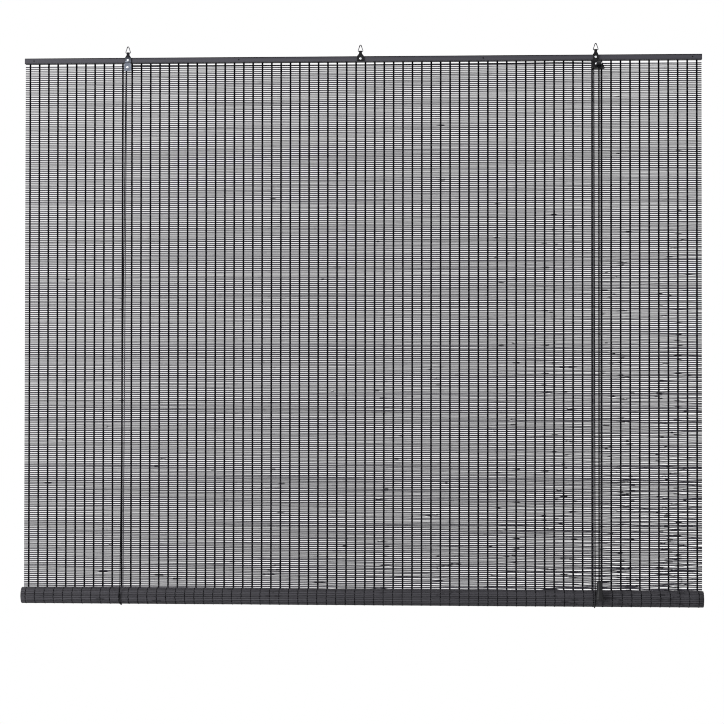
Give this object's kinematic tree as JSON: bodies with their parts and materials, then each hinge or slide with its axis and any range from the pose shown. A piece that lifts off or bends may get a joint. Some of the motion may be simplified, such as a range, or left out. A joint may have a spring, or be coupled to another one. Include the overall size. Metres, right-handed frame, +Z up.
{
  "type": "bamboo roll up blind",
  "caption": "Wide dark grey bamboo roll-up blind: woven slat mat hung from a headrail, rolled at the foot, with cord slings, pulleys, a cord lock and hanging rings.",
  "frame": {"origin": "centre of the headrail's back face, the face that lies on the wall", "axes": "+X along the headrail to the viewer's right, +Y into the wall, +Z up"},
  "size_m": [1.8, 0.076, 1.4876],
  "materials": {
    "rail_wood": "dark grey stained wood, matt",
    "slat_bamboo": "dark grey stained bamboo with fine grain and node marks",
    "roll_bamboo": "dark grey stained bamboo, rolled",
    "warp_yarn": "black twisted yarn",
    "pole_wood": "plain turned wood",
    "zinc_steel": "blue-grey plated sheet steel",
    "black_steel": "black painted sheet steel, slight gloss",
    "bright_steel": "bright plated steel",
    "pulley_plastic": "dark moulded plastic",
    "cord_braid": "black braided cord",
    "tassel_plastic": "black moulded plastic"
  },
  "bodies": {
    "headrail": {"headrail_back_strip": "rail_wood", "headrail_front_rail": "rail_wood", "headrail_nails": "black_steel", "mat": "slat_bamboo", "warp_threads_front": "warp_yarn", "warp_threads_back": "warp_yarn", "left_bracket": "zinc_steel", "left_bracket_screw": "bright_steel", "left_pulley_rivet": "bright_steel", "centre_hanger": "black_steel", "centre_hanger_screw": "bright_steel", "right_bracket": "black_steel", "right_bracket_screw": "bright_steel", "right_pulley_rivet": "bright_steel", "lock_cam_pin": "bright_steel", "lift_cord_knots": "cord_braid", "left_cord_back_run": "cord_braid", "left_cord_front_run": "cord_braid", "right_cord_back_run": "cord_braid", "right_cord_front_run": "cord_braid", "cross_cord": "cord_braid", "right_lock_cord": "cord_braid", "pull_cord_a": "cord_braid", "pull_cord_b": "cord_braid"},
    "cord_sling": {"left_cord_sling": "cord_braid", "right_cord_sling": "cord_braid"},
    "roll": {"roll_turns": "roll_bamboo", "bottom_pole": "pole_wood"},
    "tassel": {"tassel": "tassel_plastic", "tassel_knot": "cord_braid"},
    "left_pulley": {"left_pulley": "pulley_plastic"},
    "right_back_pulley": {"right_back_pulley": "pulley_plastic"},
    "right_front_pulley": {"right_front_pulley": "pulley_plastic"},
    "lock_cam": {"lock_cam": "pulley_plastic"},
    "left_ring": {"left_ring": "bright_steel"},
    "centre_ring": {"centre_ring": "bright_steel"},
    "right_ring": {"right_ring": "bright_steel"}
  },
  "joints": [
    {"name": "roll_lift", "type": "slide", "parent": "headrail", "child": "cord_sling", "axis": [0, 0, 1], "range_m": [0, 1.3006], "deforming": ["mat", "warp_threads_front", "warp_threads_back", "left_cord_back_run", "right_cord_back_run", "left_cord_front_run", "right_cord_front_run"]},
    {"name": "roll_spin", "type": "hinge", "parent": "cord_sling", "child": "roll", "pos_m": [0, -0.028, -1.425], "axis": [1, 0, 0], "range_deg": [-3240, 0]},
    {"name": "tassel_drop", "type": "slide", "parent": "headrail", "child": "tassel", "axis": [0, 0, 1], "range_m": [-2.6012, 0], "deforming": ["pull_cord_a", "pull_cord_b"]},
    {"name": "left_pulley_turn", "type": "hinge", "parent": "headrail", "child": "left_pulley", "pos_m": [-0.621, -0.0236, -0.0195], "axis": [0, 1, 0], "continuous": true},
    {"name": "right_back_pulley_turn", "type": "hinge", "parent": "headrail", "child": "right_back_pulley", "pos_m": [0.621, -0.0236, -0.0195], "axis": [0, 1, 0], "continuous": true},
    {"name": "right_front_pulley_turn", "type": "hinge", "parent": "headrail", "child": "right_front_pulley", "pos_m": [0.621, -0.0293, -0.0195], "axis": [0, 1, 0], "continuous": true},
    {"name": "lock_cam_swing", "type": "hinge", "parent": "headrail", "child": "lock_cam", "pos_m": [0.628, -0.0415, -0.0195], "axis": [1, 0, 0], "range_deg": [0, 65]},
    {"name": "left_ring_swing", "type": "hinge", "parent": "headrail", "child": "left_ring", "pos_m": [-0.621, -0.02164, 0.019], "axis": [1, 0, 0], "range_deg": [-90, 90]},
    {"name": "centre_ring_swing", "type": "hinge", "parent": "headrail", "child": "centre_ring", "pos_m": [0, -0.02164, 0.019], "axis": [1, 0, 0], "range_deg": [-90, 90]},
    {"name": "right_ring_swing", "type": "hinge", "parent": "headrail", "child": "right_ring", "pos_m": [0.621, -0.02164, 0.019], "axis": [1, 0, 0], "range_deg": [-90, 90]}
  ],
  "couplings": [
    {"joint": "roll_spin", "follows": "roll_lift", "rad_per_m": -43.478},
    {"joint": "tassel_drop", "follows": "roll_lift", "ratio": -2},
    {"joint": "left_pulley_turn", "follows": "roll_lift", "rad_per_m": 400},
    {"joint": "right_back_pulley_turn", "follows": "roll_lift", "rad_per_m": 400},
    {"joint": "right_front_pulley_turn", "follows": "roll_lift", "rad_per_m": 400}
  ]
}
